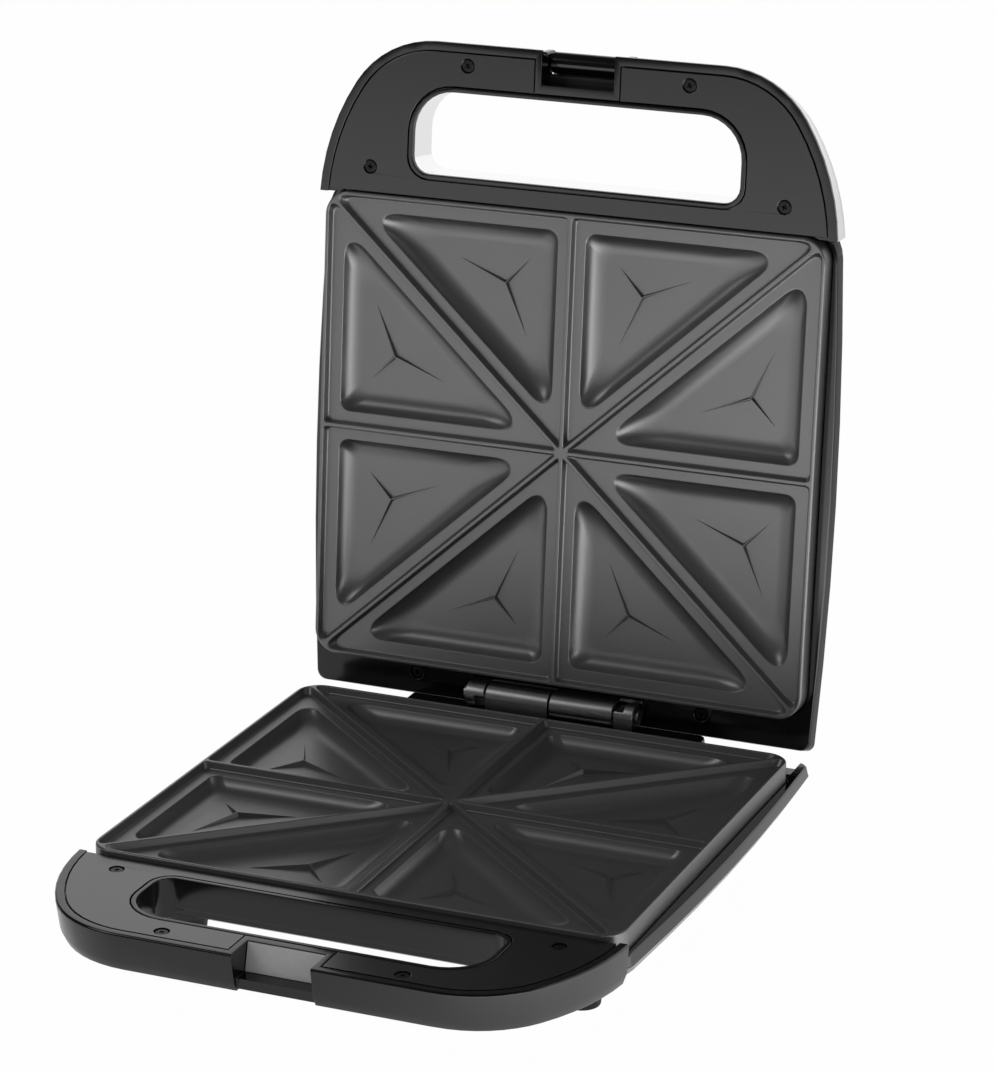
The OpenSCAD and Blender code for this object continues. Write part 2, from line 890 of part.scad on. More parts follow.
// bushing in the back wall for the mains lead
module cord_gland() {
    color([0.04, 0.04, 0.04])
        at_base()
            difference() {
                union() {
                    gland_socket(gland_r + 2.5, back_y + 1 + seat, back_y + 3.6);
                    gland_socket(gland_r, back_y - 19, back_y + 1.5);
                }
                gland_socket(gland_r - 1.6, back_y - 31, back_y + 29);
            }
}

module rubber_feet() {
    color([0.03, 0.03, 0.03])
        at_base()
            both_x()
                for (y = feet_y)
                    translate([foot_x, y, -rim_h]) {
                        cylinder(r1 = foot_r, r2 = foot_top_r, h = foot_h);
                        cylinder(r = stem_r, h = foot_h + floor_t);
                    }
}

module base_handle_screws() {
    at_base()
        face_screw_set();
}

module bottom_screws() {
    color([0.15, 0.15, 0.15])
        at_base()
            both_x()
                for (c = cover_screws)
                    translate([c[0], c[1], floor_t - 1 - base_depth])
                        mirror([0, 0, 1]) {
                            translate([0, 0, 0.05])
                                cylinder(r = head_r, h = 0.8*head_t);
                            translate([0, 0, -cover_screw_l])
                                cylinder(r = shank_r, h = cover_screw_l + 0.1);
                        }
}

module base_hinge_leaf() {
    at_base()
        hinge_leaf(hinge_z, [[inner_l, -roll_gap/2], [hinge_x - knuckle, hinge_x]],
            [hinge_x - knuckle - 1, hinge_y - 10, hinge_z + 3.3],
            [1 + knuckle/2, 20, 10]);
}

module lid_hinge_leaf() {
    at_lid()
        hinge_leaf(shut_gap - hinge_z,
            [[-hinge_x, -hinge_x + knuckle], [roll_gap/2, -inner_l]],
            [-hinge_x + knuckle/2, hinge_y - 0.5, shut_gap - hinge_z],
            [1 + knuckle/2, 10, 10]);
}

module hinge_pin() {
    color("silver")
        at_base()
            translate([0, hinge_y, hinge_z])
                rotate([0, 90, 0]) {
                    translate([0, 0, -hinge_x - 1])
                        cylinder(r = pin_r, h = 2*hinge_x + 2);
                    for (z = [-hinge_x - 1.8, hinge_x + 0.6])
                        translate([0, 0, z])
                            cylinder(r = pin_r + 1.4, h = 1.2);
                }
}

module base_hinge_screws() {
    at_base()
        hinge_screws();
}

// ---------- lid ----------

module lid_frame() {
    color([0.05, 0.05, 0.05])
        at_lid()
            difference() {
                union() {
                    difference() {
                        union() {
                            body_stack(frame_skin);
                            slab(body_pts(frame_t - tongue_t), -22, -12);
                        }
                        slab(body_pts(frame_t), -23, -ledge_drop - ledge_t);
                    }
                    intersection() {
                        slab(body_pts(frame_t - 0.1), -34, -11);
                        hinge_pad();
                    }
                    slab(handle_pts(0), hood_top + seat, -handle_drop);
                    handle_stack(lid_grip_skin);
                    difference() {
                        slab(hole_pts(hole_wall), hood_z - 0.4, -10);
                        finger_hole(40);
                    }
                    both_x() {
                        translate([latch_x, latch_y - 3, latch_z - 3])
                            cube([cheek_t, 7, 10]);
                        for (p = lid_bosses)
                            translate([p[0], p[1], -30]) {
                                cylinder(r = head_r + 1.5, h = 30 - ledge_drop + boss_up);
                                translate([-head_r - 1.5, -8, 30 - ledge_drop - ledge_t])
                                    cube([2*head_r + 3, 8, ledge_t + boss_up]);
                            }
                    }
                }
                translate([0, 0, -ledge_drop - ledge_t - 1])
                    linear_extrude(30)
                        plate_outline(skirt_gap);
                tray(lid_grip_h - 2.4);
                finger_hole(40);
                difference() {
                    translate([-latch_x, -handle_y - 5, -40])
                        cube([2*latch_x, 5 + handle_y + recess_y, 50]);
                    translate([-latch_x - 1, latch_y + latch_r + hook_gap, latch_z - 4])
                        cube([2*latch_x + 2, 20, 5]);
                }
                translate([-latch_x - cheek_t + 1, latch_y, latch_z])
                    rotate([0, 90, 0])
                        cylinder(r = latch_pin_r + 0.02, h = 2*(latch_x + cheek_t - 1));
                leaf_slot();
                hinge_pilots();
                both_x()
                    for (p = lid_bosses)
                        translate([p[0], p[1], -28]) {
                            cylinder(r = shank_r + pilot_play, h = 30);
                            translate([0, 0, 28 - ledge_drop - 0.9])
                                cylinder(r = head_r + 0.3, h = 10);
                        }
            }
}

module lid_cover() {
    color([0.75, 0.75, 0.75])
        at_lid()
            difference() {
                union() {
                    body_stack(roof_skin);
                    handle_stack(hood_skin);
                }
                body_stack(roof_skin, cover_t, cover_t);
                handle_stack(hood_skin, cover_t, cover_t, handle_back + 2);
                slab(hole_pts(hole_wall + 0.3), -50, -2);
                translate([-latch_x - cheek_t - seat, -handle_y - 5, -50])
                    cube([2*(latch_x + cheek_t + seat), 5.6 + handle_y + recess_y, 50]);
                for (x = lamp_x)
                    translate([x, lamp_y, -lid_depth - 1])
                        cylinder(r = lamp_r + 0.1, h = 4);
            }
}

module lid_handle_plate() {
    at_lid()
        inset_face();
}

module lid_cooking_plate() {
    color([0.2, 0.2, 0.2])
        at_lid()
            cooking_plate();
}

module lid_heater() {
    at_lid()
        heater();
}

module lid_reflector() {
    at_lid()
        shield();
}

module lid_plate_posts() {
    at_lid()
        plate_posts(cover_t + seat - lid_depth);
}

module lid_handle_screws() {
    at_lid()
        face_screw_set();
}

module lid_boss_screws() {
    color([0.15, 0.15, 0.15])
        at_lid()
            both_x()
                for (p = lid_bosses)
                    translate([p[0], p[1], -ledge_drop - 0.9])
                        screw(boss_screw_l);
}

module lid_hinge_screws() {
    at_lid()
        hinge_screws();
}

module lamp(x, tint) {
    color(tint)
        at_lid()
            translate([x, lamp_y, -lid_depth]) {
                translate([0, 0, -1])
                    cylinder(r = lamp_r, h = 8);
                translate([0, 0, cover_t + seat])
                    cylinder(r = lamp_r + 1.2, h = 1.5);
            }
}

module power_lamp() {
    lamp(lamp_x[0], "red");
}

module ready_lamp() {
    lamp(lamp_x[1], "green");
}

module lamp_board() {
    color("darkgreen")
        at_lid()
            translate([-22, lamp_y - 7, 7 + seat - lid_depth])
                cube([44, 14, 1.6]);
}

// ---------- latch ----------

// the latch is drawn hooked on a shut lid, then folded back about its pin
module at_latch() {
    translate([0, hinge_y - mid_y, rim_h + hinge_z])
        rotate([-open_angle, 0, 0])
            translate([0, latch_y - hinge_y, shut_gap - latch_z - hinge_z])
                rotate([-latch_turn, 0, 0])
                    children();
}

module latch_clip() {
    color([0.06, 0.06, 0.06])
        at_latch()
            difference() {
                translate([-latch_w/2, 0, 0])
                    rotate([90, 0, 90])
                        linear_extrude(latch_w) {
                            circle(latch_r);
                            translate([arm_y - latch_t, -latch_drop - latch_t])
                                square([latch_t, latch_drop + latch_t]);
                            translate([arm_y - latch_t - hook_lip, -latch_drop - latch_t])
                                square([latch_t + 8, latch_t]);
                        }
                translate([-latch_x, 0, 0])
                    rotate([0, 90, 0])
                        cylinder(r = latch_pin_r + run, h = 2*latch_x);
            }
}

module latch_pin() {
    color("silver")
        at_lid()
            translate([-latch_x - cheek_t + 1.2, latch_y, latch_z])
                rotate([0, 90, 0])
                    cylinder(r = latch_pin_r, h = 2*(latch_x + cheek_t - 1.2));
}

// ---------- drawing ----------

base_shell();
base_bottom_cover();
base_handle_plate();
base_cooking_plate();
base_heater();
base_reflector();
base_plate_posts();
thermostat();
thermal_fuse();
terminal_block();
cord_gland();
rubber_feet();
base_handle_screws();
bottom_screws();
base_hinge_leaf();
hinge_pin();
base_hinge_screws();
lid_frame();
lid_cover();
lid_handle_plate();
lid_cooking_plate();
lid_heater();
lid_reflector();
lid_plate_posts();
lid_handle_screws();
lid_boss_screws();
lid_hinge_leaf();
lid_hinge_screws();
power_lamp();
ready_lamp();
lamp_board();
latch_pin();
latch_clip();
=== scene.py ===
import bpy, bmesh, math
from mathutils import Matrix, Vector


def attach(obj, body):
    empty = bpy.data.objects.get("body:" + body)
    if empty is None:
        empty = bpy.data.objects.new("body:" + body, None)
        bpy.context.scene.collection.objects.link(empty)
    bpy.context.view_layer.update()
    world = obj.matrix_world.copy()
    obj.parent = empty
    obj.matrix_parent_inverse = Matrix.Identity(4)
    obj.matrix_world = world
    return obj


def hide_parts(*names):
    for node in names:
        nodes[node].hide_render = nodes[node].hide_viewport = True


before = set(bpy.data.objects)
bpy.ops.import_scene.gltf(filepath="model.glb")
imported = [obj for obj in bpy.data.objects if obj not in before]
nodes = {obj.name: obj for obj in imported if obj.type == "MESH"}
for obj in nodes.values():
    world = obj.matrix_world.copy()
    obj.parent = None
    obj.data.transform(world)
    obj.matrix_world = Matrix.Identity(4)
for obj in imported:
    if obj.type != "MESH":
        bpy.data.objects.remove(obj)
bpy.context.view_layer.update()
print("frame loaded:", len(nodes), "nodes")

scene = bpy.context.scene
scene.view_settings.view_transform = "Standard"

mm = 0.001
unitCube = 0.002  # a half size in millimetres scales it
flush = 1e-6  # closer than this, in metres, counts as the same place
level = 0.9   # a face's normal is upright past this

# the toaster seen from the front right and above, from about 1.7 m
cameraSettings = {
    "place": (0.64348, -1.51787, 0.71013),
    "azimuth": 22.350,      # turned left of straight ahead
    "elevation": 18.019,    # looking down
    "roll": 0.433,
    "lens": 131.30,
    "sensor": 36,           # along the picture's longer side
    "clip": (0.1, 50),
}


def makeCamera(s):
    az, el, roll = (math.radians(s[k]) for k in ("azimuth", "elevation", "roll"))
    look = Vector((-math.sin(az) * math.cos(el), math.cos(az) * math.cos(el), -math.sin(el)))
    right = Vector((math.cos(az), math.sin(az), 0))
    up = right.cross(look)
    right, up = (right * math.cos(roll) + up * math.sin(roll),
                 up * math.cos(roll) - right * math.sin(roll))
    data = bpy.data.cameras.new("camera")
    data.lens = s["lens"]
    data.sensor_width = s["sensor"]
    data.clip_start, data.clip_end = s["clip"]
    camera = bpy.data.objects.new("camera", data)
    scene.collection.objects.link(camera)
    camera.matrix_world = Matrix((
        (right.x, up.x, -look.x, s["place"][0]),
        (right.y, up.y, -look.y, s["place"][1]),
        (right.z, up.z, -look.z, s["place"][2]),
        (0, 0, 0, 1)))
    scene.camera = camera


makeCamera(cameraSettings)


class Wire:  # a node socket that does sums
    def __init__(self, tree, socket):
        self.tree, self.socket = tree, socket

    def sum(self, operation, *values):
        return self.tree.node("ShaderNodeMath", {"operation": operation},
                              dict(enumerate(values)), "Value")

    def __add__(self, other):
        return self.sum("ADD", self, other)

    def __sub__(self, other):
        return self.sum("SUBTRACT", self, other)

    def __rsub__(self, other):
        return self.sum("SUBTRACT", other, self)

    def __mul__(self, other):
        return self.sum("MULTIPLY", self, other)

    __radd__, __rmul__ = __add__, __mul__

    def over(self, other):
        return self.sum("MAXIMUM", self, other)


class Tree:  # one material's or world's node tree
    def __init__(self, owner):
        owner.use_nodes = True
        self.nodes, self.links = owner.node_tree.nodes, owner.node_tree.links
        self.nodes.clear()

    def node(self, kind, settings, sockets, out=0):
        made = self.nodes.new(kind)
        for name, value in settings.items():
            setattr(made, name, value)
        for name, value in sockets.items():
            socket = made.inputs[name]
            if isinstance(value, Wire):
                self.links.new(value.socket, socket)
            else:
                socket.default_value = value
        return Wire(self, made.outputs[out])

    def place(self, scale=(1, 1, 1)):  # object coordinates, scaled
        spot = self.node("ShaderNodeTexCoord", {}, {}, "Object")
        return self.node("ShaderNodeMapping", {}, {"Vector": spot, "Scale": scale})

    def noise(self, size, detail=3, rough=0.5, scale=(1, 1, 1)):  # size in metres
        return self.node("ShaderNodeTexNoise", {},
                         {"Vector": self.place(scale), "Scale": 1 / size, "Detail": detail,
                          "Roughness": rough}, "Fac")

    def colours(self, amount, low, high):
        return self.node("ShaderNodeMix", {"data_type": "RGBA"},
                         {"Factor": amount, 6: (*low, 1), 7: (*high, 1)}, 2)

    def bump(self, height, strength, distance):
        return self.node("ShaderNodeBump", {},
                         {"Height": height, "Strength": strength, "Distance": distance}, "Normal")

    def ramp(self, value, low, high):  # from 0 at low to 1 at high, eased
        return self.node("ShaderNodeMapRange", {"interpolation_type": "SMOOTHSTEP"},
                         {"Value": value, "From Min": low, "From Max": high})

    def parts(self, vector):
        return [self.node("ShaderNodeSeparateXYZ", {}, {"Vector": vector}, k) for k in "XYZ"]

    def light(self, kind, strength):
        return self.node(kind, {}, {"Color": (1, 1, 1, 1), "Strength": strength})

    def shader(self, sockets):
        return self.node("ShaderNodeBsdfPrincipled", {}, sockets, "BSDF")

    def output(self, surface, kind="ShaderNodeOutputMaterial"):
        made = self.nodes.new(kind)
        self.links.new(surface.socket, made.inputs["Surface"])


def material(name, build):
    made = bpy.data.materials.new(name)
    tree = Tree(made)
    tree.output(build(tree))
    return made


plastic = {"black": (0.0032, 0.0032, 0.0034), "paler": 1.5, "mottle": 0.004, "grain": 0.0006,
           "uneven": 0.06, "coatRough": 0.15, "ior": 1.52,
           "shell": (0.15, 0.05, 0), "face": (0.26, 0.12, 0.4)}  # roughness, grain, coat
coating = {"dark": (0.165, 0.165, 0.167), "light": (0.210, 0.210, 0.212), "rough": 0.36,
           "metal": 0.7, "ior": 1.5, "speckle": 0.0007, "cloud": 0.03, "speckled": 0.6,
           "uneven": 0.12, "bump": 0.25}
steel = {"colour": (0.83, 0.83, 0.82), "rough": 0.26}
gunMetal = {"colour": (0.46, 0.46, 0.47), "rough": 0.34}
brushing = {"line": 0.0004, "stretch": (0.02, 1, 1), "darker": 0.88, "uneven": 0.15,
            "bump": 0.15, "depth": 0.00005}
graining = {"size": 0.002, "fine": 0.001, "darker": 0.85, "uneven": 0.1, "bump": 0.1,
            "depth": 0.0001}


def blackPlastic(s, rough, grain, coat):
    def build(t):
        mottle = t.noise(s["mottle"], 2)
        fine = t.noise(s["grain"], 2)
        return t.shader({"Base Color": t.colours(mottle, s["black"],
                                                 tuple(s["paler"] * c for c in s["black"])),
                         "Roughness": rough + (fine - 0.5) * s["uneven"],
                         "Coat Weight": coat, "Coat Roughness": s["coatRough"],
                         "IOR": s["ior"],
                         "Normal": t.bump(fine, grain, graining["depth"])})
    return build


def nonStick(s):
    def build(t):
        speckle = t.noise(s["speckle"], 2, 0.7)
        cloud = t.noise(s["cloud"], 2)
        mottle = speckle * s["speckled"] + cloud * (1 - s["speckled"])
        return t.shader({"Base Color": t.colours(mottle, s["dark"], s["light"]),
                         "Roughness": s["rough"] + (speckle - 0.5) * s["uneven"],
                         "Metallic": s["metal"], "IOR": s["ior"],
                         "Normal": t.bump(speckle, s["bump"], graining["depth"])})
    return build


def brushed(colour, rough, s=brushing):
    def build(t):
        lines = t.noise(s["line"], 3, 0.6, s["stretch"])
        darker = tuple(s["darker"] * c for c in colour)
        return t.shader({"Base Color": t.colours(lines, darker, colour),
                         "Roughness": rough + (lines - 0.5) * s["uneven"], "Metallic": 1.0,
                         "Normal": t.bump(lines, s["bump"], s["depth"])})
    return build


def plain(colour, rough, metal=0.0, size=graining["size"], s=graining):
    def build(t):
        grain = t.noise(size, 3)
        darker = tuple(s["darker"] * c for c in colour)
        return t.shader({"Base Color": t.colours(grain, darker, colour),
                         "Roughness": rough + (grain - 0.5) * s["uneven"], "Metallic": metal,
                         "Normal": t.bump(grain, s["bump"], s["depth"])})
    return build


finishes = {
    "blackShell": blackPlastic(plastic, *plastic["shell"]),
    "blackFace": blackPlastic(plastic, *plastic["face"]),
    "blackMatt": plain((0.02, 0.02, 0.02), 0.55),
    "nonStick": nonStick(coating),
    "coverSteel": brushed(steel["colour"], steel["rough"]),
    "brightLiner": brushed((0.97, 0.97, 0.97), 0.08),
    # painted reflection: a pale grey that stands in for the bright reflection on the wall of the
    # base's recess
    "paintedReflection": plain((0.66, 0.66, 0.66), 0.35),
    "gunMetal": brushed(gunMetal["colour"], gunMetal["rough"]),
    "zinc": plain((0.5, 0.5, 0.5), 0.35, 1.0),
    "blackOxide": plain((0.03, 0.03, 0.032), 0.35, 1.0, graining["fine"]),
    "sheet": plain((0.7, 0.7, 0.7), 0.25, 1.0),
    "element": plain((0.2, 0.18, 0.17), 0.5, 1.0),
    "rubber": plain((0.012, 0.012, 0.012), 0.6, 0.0, graining["fine"]),
    "ceramic": plain((0.7, 0.68, 0.62), 0.7),
    "board": plain((0.03, 0.12, 0.04), 0.4),
    "redLens": plain((0.45, 0.01, 0.01), 0.1),
    "greenLens": plain((0.01, 0.3, 0.03), 0.1),
}
finishes = {name: material(name, build) for name, build in finishes.items()}

worn = {
    "blackShell": ["base_shell", "lid_frame", "latch_clip"],
    "blackFace": ["base_handle_plate", "lid_handle_plate"],
    "blackMatt": ["base_bottom_cover"],
    "nonStick": ["base_cooking_plate", "lid_cooking_plate"],
    "coverSteel": ["lid_cover"],
    "gunMetal": ["base_hinge_leaf", "lid_hinge_leaf"],
    "zinc": ["base_plate_posts", "lid_plate_posts", "base_hinge_screws", "lid_hinge_screws",
             "latch_pin", "hinge_pin"],
    "blackOxide": ["base_handle_screws", "lid_handle_screws", "bottom_screws",
                   "lid_boss_screws"],
    "sheet": ["base_reflector", "lid_reflector"],
    "element": ["base_heater", "lid_heater"],
    "rubber": ["rubber_feet", "cord_gland"],
    "ceramic": ["thermostat", "thermal_fuse", "terminal_block"],
    "board": ["lamp_board"],
    "redLens": ["power_lamp"],
    "greenLens": ["ready_lamp"],
}
for finish, names in worn.items():
    for name in names:
        nodes[name].data.materials.clear()
        nodes[name].data.materials.append(finishes[finish])
print("finishes made:", len(finishes))


# both halves are modelled alike, rim face at z = 0, and then put in place
stance = {"midY": 0.006195, "rim": 0.050, "hingeY": 0.124, "hingeZ": 0.00348,
          "shutGap": 0.001, "openAngle": 94.28}


def halfPlaces(s):
    base = Matrix.Translation((0, -s["midY"], s["rim"]))
    lid = (Matrix.Translation((0, s["hingeY"] - s["midY"], s["rim"] + s["hingeZ"]))
           @ Matrix.Rotation(math.radians(-s["openAngle"]), 4, "X")
           @ Matrix.Translation((0, -s["hingeY"], s["shutGap"] - s["hingeZ"]))
           @ Matrix.Diagonal((1, 1, -1, 1)))
    return {"base": base, "lid": lid}


places = halfPlaces(stance)


def focus(piece, edit=False):  # only this piece is selected
    if bpy.context.object and bpy.context.object.mode != "OBJECT":
        bpy.ops.object.mode_set(mode="OBJECT")
    bpy.ops.object.select_all(action="DESELECT")
    bpy.context.view_layer.objects.active = piece
    piece.select_set(True)
    if edit:
        bpy.ops.object.mode_set(mode="EDIT")
        bpy.ops.mesh.select_all(action="SELECT")


def leaveEdit():
    bpy.ops.object.mode_set(mode="OBJECT")
    return bpy.context.object


def choose(kind, test):  # faces, edges or verts of the piece in edit mode
    bpy.ops.mesh.select_mode(type={"faces": "FACE", "edges": "EDGE", "verts": "VERT"}[kind])
    bpy.ops.mesh.select_all(action="DESELECT")
    mesh = bmesh.from_edit_mesh(bpy.context.object.data)
    for part in getattr(mesh, kind):
        if test(part):
            part.select = True
    mesh.select_flush_mode()
    bmesh.update_edit_mesh(bpy.context.object.data)


def middle(part):  # of a face or an edge
    return sum((v.co for v in part.verts), Vector()) / len(part.verts)


def start(kind, name, **sizes):  # a primitive, in edit mode and all selected
    if bpy.context.object and bpy.context.object.mode != "OBJECT":
        bpy.ops.object.mode_set(mode="OBJECT")
    bpy.ops.object.select_all(action="DESELECT")
    getattr(bpy.ops.mesh, "primitive_" + kind + "_add")(enter_editmode=True, **sizes)
    bpy.context.object.name = name
    return bpy.context.object


def modify(piece, kind, **settings):
    focus(piece)
    bpy.ops.object.modifier_add(type=kind)
    made = piece.modifiers[-1]
    for key, value in settings.items():
        setattr(made, key, value)
    bpy.ops.object.modifier_apply(modifier=made.name)


def merge(pieces, name):
    focus(pieces[0])
    for piece in pieces:
        piece.select_set(True)
    if len(pieces) > 1:
        bpy.ops.object.join()
    pieces[0].name = name
    return pieces[0]


def carve(piece, tool, operation="DIFFERENCE", own=False):
    modify(piece, "BOOLEAN", object=tool, operation=operation, solver="EXACT", use_self=own)
    bpy.data.objects.remove(tool)


shading = {"angle": 35, "weight": 60}


def smooth(piece, s=shading):
    focus(piece)
    bpy.ops.object.shade_smooth_by_angle(angle=math.radians(s["angle"]))
    modify(piece, "WEIGHTED_NORMAL", keep_sharp=True, weight=s["weight"])


def turnOut(piece):  # faces outwards again after a mirrored placing
    mesh = bmesh.new()
    mesh.from_mesh(piece.data)
    inside = mesh.calc_volume(signed=True) < 0
    mesh.free()
    if inside:
        focus(piece, edit=True)
        bpy.ops.mesh.flip_normals()
        leaveEdit()


def putDown(piece, half):  # from its half's own frame into its place
    focus(piece)
    piece.matrix_world = places[half] @ piece.matrix_world
    bpy.ops.object.transform_apply(location=True, rotation=True, scale=True)
    turnOut(piece)
    smooth(piece)


def handOver(piece, body, *replaced):
    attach(piece, body)
    if replaced:
        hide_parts(*replaced)


def settle(piece, half, body, finish, *replaced):
    putDown(piece, half)
    piece.data.materials.clear()
    piece.data.materials.append(finishes[finish])
    handOver(piece, body, *replaced)


def twin(piece, name):  # a copy with its own mesh
    made = bpy.data.objects.new(name, piece.data.copy())
    scene.collection.objects.link(made)
    return made


easing = {"segments": 2, "angle": 32, "merge": 3e-6}


# a merged copy of a node, in its half's own frame, with its edges eased
def softened(name, newName, half, width, s=easing):
    piece = twin(nodes[name], newName)
    piece.data.transform(places[half].inverted())
    focus(piece, edit=True)
    bpy.ops.mesh.remove_doubles(threshold=s["merge"])
    leaveEdit()
    turnOut(piece)
    modify(piece, "BEVEL", width=width / 1000, segments=s["segments"], limit_method="ANGLE",
           angle_limit=math.radians(s["angle"]), use_clamp_overlap=False,
           miter_outer="MITER_ARC")
    return piece


# millimetres; each profile is a list of inset and height, from the top down
plate = {
    "halfWidth": 125, "halfDepth": 114.07, "corner": 12, "skirt": 13, "wall": 2.6,
    "deck": 6.1, "edge": 0.9,
    "ribHalf": 0.9, "rimTop": 1.8, "ribLand": 7, "rimLand": 9,
    "recess": [(-0.3, 1), (-0.26, -0.03), (-0.12, -0.08), (0, -0.18), (0.08, -0.36),
               (0.72, -2.85), (0.86, -3.15), (1.1, -3.38), (1.45, -3.5)],
    "recessRound": {"hub": 0.8, "square": 2.2, "corner": 3.2},
    "mouth": [(-0.4, -2.5), (-0.34, -3.53), (-0.14, -3.58), (0, -3.7), (0.1, -3.9)],
    "floor": -9.6, "cove": 9.6, "coveBend": (1.6, -7.6, 3.9), "coveSteps": 11,
    "pocketRound": {"hub": 6.6, "square": 5.4, "corner": 6.6},
    "bowl": [(-2.6, -5), (-2.4, -8.2), (-0.6, -11.8), (2.4, -14.2), (3.2, -14.55)],
    "leastStep": 0.004,
    "arms": (26.5, 17, 26), "armHalf": 1.55, "armHeight": 2.2, "armCrest": 0.2,
    "armTip": (0.04, 0.05),  # the share of an arm's width and height left at its tip
    "armSpots": {"side": (90, 35.2), "back": (34.3, 76.9)},
}


def coveProfile(s):  # the pocket's side: rounded mouth, steep wall, soft fillet
    x0, z0 = s["mouth"][-1]
    bend = s["coveBend"]
    a, b, c, d = (x0, z0), (bend[0], bend[1]), (bend[2], s["floor"]), (s["cove"], s["floor"])
    points = list(s["mouth"])
    for i in range(1, s["coveSteps"] + 1):
        t = i / s["coveSteps"]
        points.append(tuple(a[k] * (1 - t)**3 + 3 * b[k] * t * (1 - t)**2
                            + 3 * c[k] * t * t * (1 - t) + d[k] * t**3 for k in (0, 1)))
    return points


# a stepped three-sided block over one of the two cells of a quarter
def cellSolid(s, cell, ribIn, rimIn, profile, rounds, segments):
    shift = rimIn - ribIn
    w = s["halfWidth"] - (shift if cell == "side" else 0)
    d = s["halfDepth"] - (shift if cell == "back" else 0)
    slope = s["halfDepth"] / s["halfWidth"]
    if cell == "side":
        d = w * slope
    else:
        w = d / slope
    start("plane", cell + "Cell", size=1)
    bpy.ops.transform.resize(value=(w * mm, d * mm, 1))
    bpy.ops.transform.translate(value=(w * mm / 2, d * mm / 2, profile[0][1] * mm))
    across = Vector((-slope, 1, 0)).normalized()
    if cell == "back":
        across = -across
    bpy.ops.mesh.bisect(plane_co=(0, 0, profile[0][1] * mm), plane_no=across,
                        clear_outer=True, threshold=flush)
    bpy.ops.mesh.select_all(action="SELECT")
    bpy.ops.mesh.remove_doubles(threshold=flush)
    bpy.ops.mesh.flip_normals()
    bpy.ops.mesh.select_mode(type="FACE")
    bpy.ops.mesh.select_all(action="SELECT")
    bpy.ops.mesh.inset(thickness=(ribIn + profile[0][0]) * mm, depth=0, use_even_offset=True,
                       use_boundary=True)
    bpy.ops.mesh.select_all(action="INVERT")
    bpy.ops.mesh.delete(type="FACE")
    bpy.ops.mesh.select_all(action="SELECT")
    bpy.ops.mesh.extrude_region_move(TRANSFORM_OT_translate={
        "value": (0, 0, (profile[1][1] - profile[0][1]) * mm)})
    last = profile[0]
    if profile[1][0] != last[0]:
        last = (last[0], profile[1][1])
    for x, z in profile[1:]:
        if x > last[0]:
            bpy.ops.mesh.inset(thickness=(x - last[0]) * mm,
                               depth=max(last[1] - z, s["leastStep"]) * mm,
                               use_even_offset=True, use_boundary=True)
        last = (x, z)
    square = Vector((w, 0, 0)) if cell == "side" else Vector((0, d, 0))
    narrow, wide = math.atan(slope), math.atan(1 / slope)
    if cell == "back":
        narrow, wide = wide, narrow
    ends = {"hub": (Vector(), narrow), "square": (square, math.pi / 2),
            "corner": (Vector((w, d, 0)), wide)}
    for name, (spot, angle) in ends.items():
        near = spot * mm

        def spoke(e):
            a, b = e.verts[0].co, e.verts[1].co
            if abs(a.z - b.z) < flush:
                return False
            mid = (a + b) / 2
            mid.z = 0
            return all((mid - near).length <= (mid - other * mm).length
                       for other, _ in ends.values())

        choose("edges", spoke)
        bpy.ops.mesh.bevel(offset_type="ABSOLUTE", offset=rounds[name] / math.tan(angle / 2) * mm,
                           segments=segments, profile=0.5, affect="EDGES", clamp_overlap=False)
    bpy.ops.mesh.select_all(action="SELECT")
    bpy.ops.mesh.normals_make_consistent(inside=False)
    return leaveEdit()


def eightCells(s, name, ribIn, rimIn, profile, rounds, segments):
    pair = [cellSolid(s, cell, ribIn, rimIn, profile, rounds, segments)
            for cell in ("side", "back")]
    made = merge(pair, name)
    modify(made, "MIRROR", use_axis=(True, True, False), use_mirror_merge=False)
    return made


def creaseArms(s):  # three tapering ridges that meet in the middle of a pocket's floor
    w, d = s["halfWidth"], s["halfDepth"]
    made = []
    for cell, square in (("side", (w, 0)), ("back", (0, d))):
        corners = [Vector((0, 0)), Vector(square), Vector((w, d))]
        hub = Vector(s["armSpots"][cell])
        for corner, length in zip(corners, s["arms"]):
            way = (corner - hub).normalized()
            start("cube", "arm", size=unitCube)
            bpy.ops.transform.resize(value=(length / 2, s["armHalf"], s["armHeight"]))
            bpy.ops.transform.translate(value=(length / 2000, 0, 0))
            choose("verts", lambda v: v.co.z > 0)
            bpy.ops.transform.resize(value=(1, s["armCrest"] / s["armHalf"], 1),
                                     center_override=(0, 0, 0))
            choose("verts", lambda v: v.co.x > mm)
            bpy.ops.transform.resize(value=(1, s["armTip"][0], 1), center_override=(0, 0, 0))
            choose("verts", lambda v: v.co.x > mm and v.co.z > 0)
            bpy.ops.transform.resize(value=(1, 1, s["armTip"][1]), center_override=(0, 0, 0))
            mesh = leaveEdit()
            mesh.matrix_world = (Matrix.Translation((hub.x / 1000, hub.y / 1000,
                                                     s["floor"] / 1000))
                                 @ Matrix.Rotation(math.atan2(way.y, way.x), 4, "Z"))
            focus(mesh)
            bpy.ops.object.transform_apply(location=True, rotation=True, scale=True)
            made.append(mesh)
    made = merge(made, "creases")
    modify(made, "MIRROR", use_axis=(True, True, False), use_mirror_merge=False)
    return made


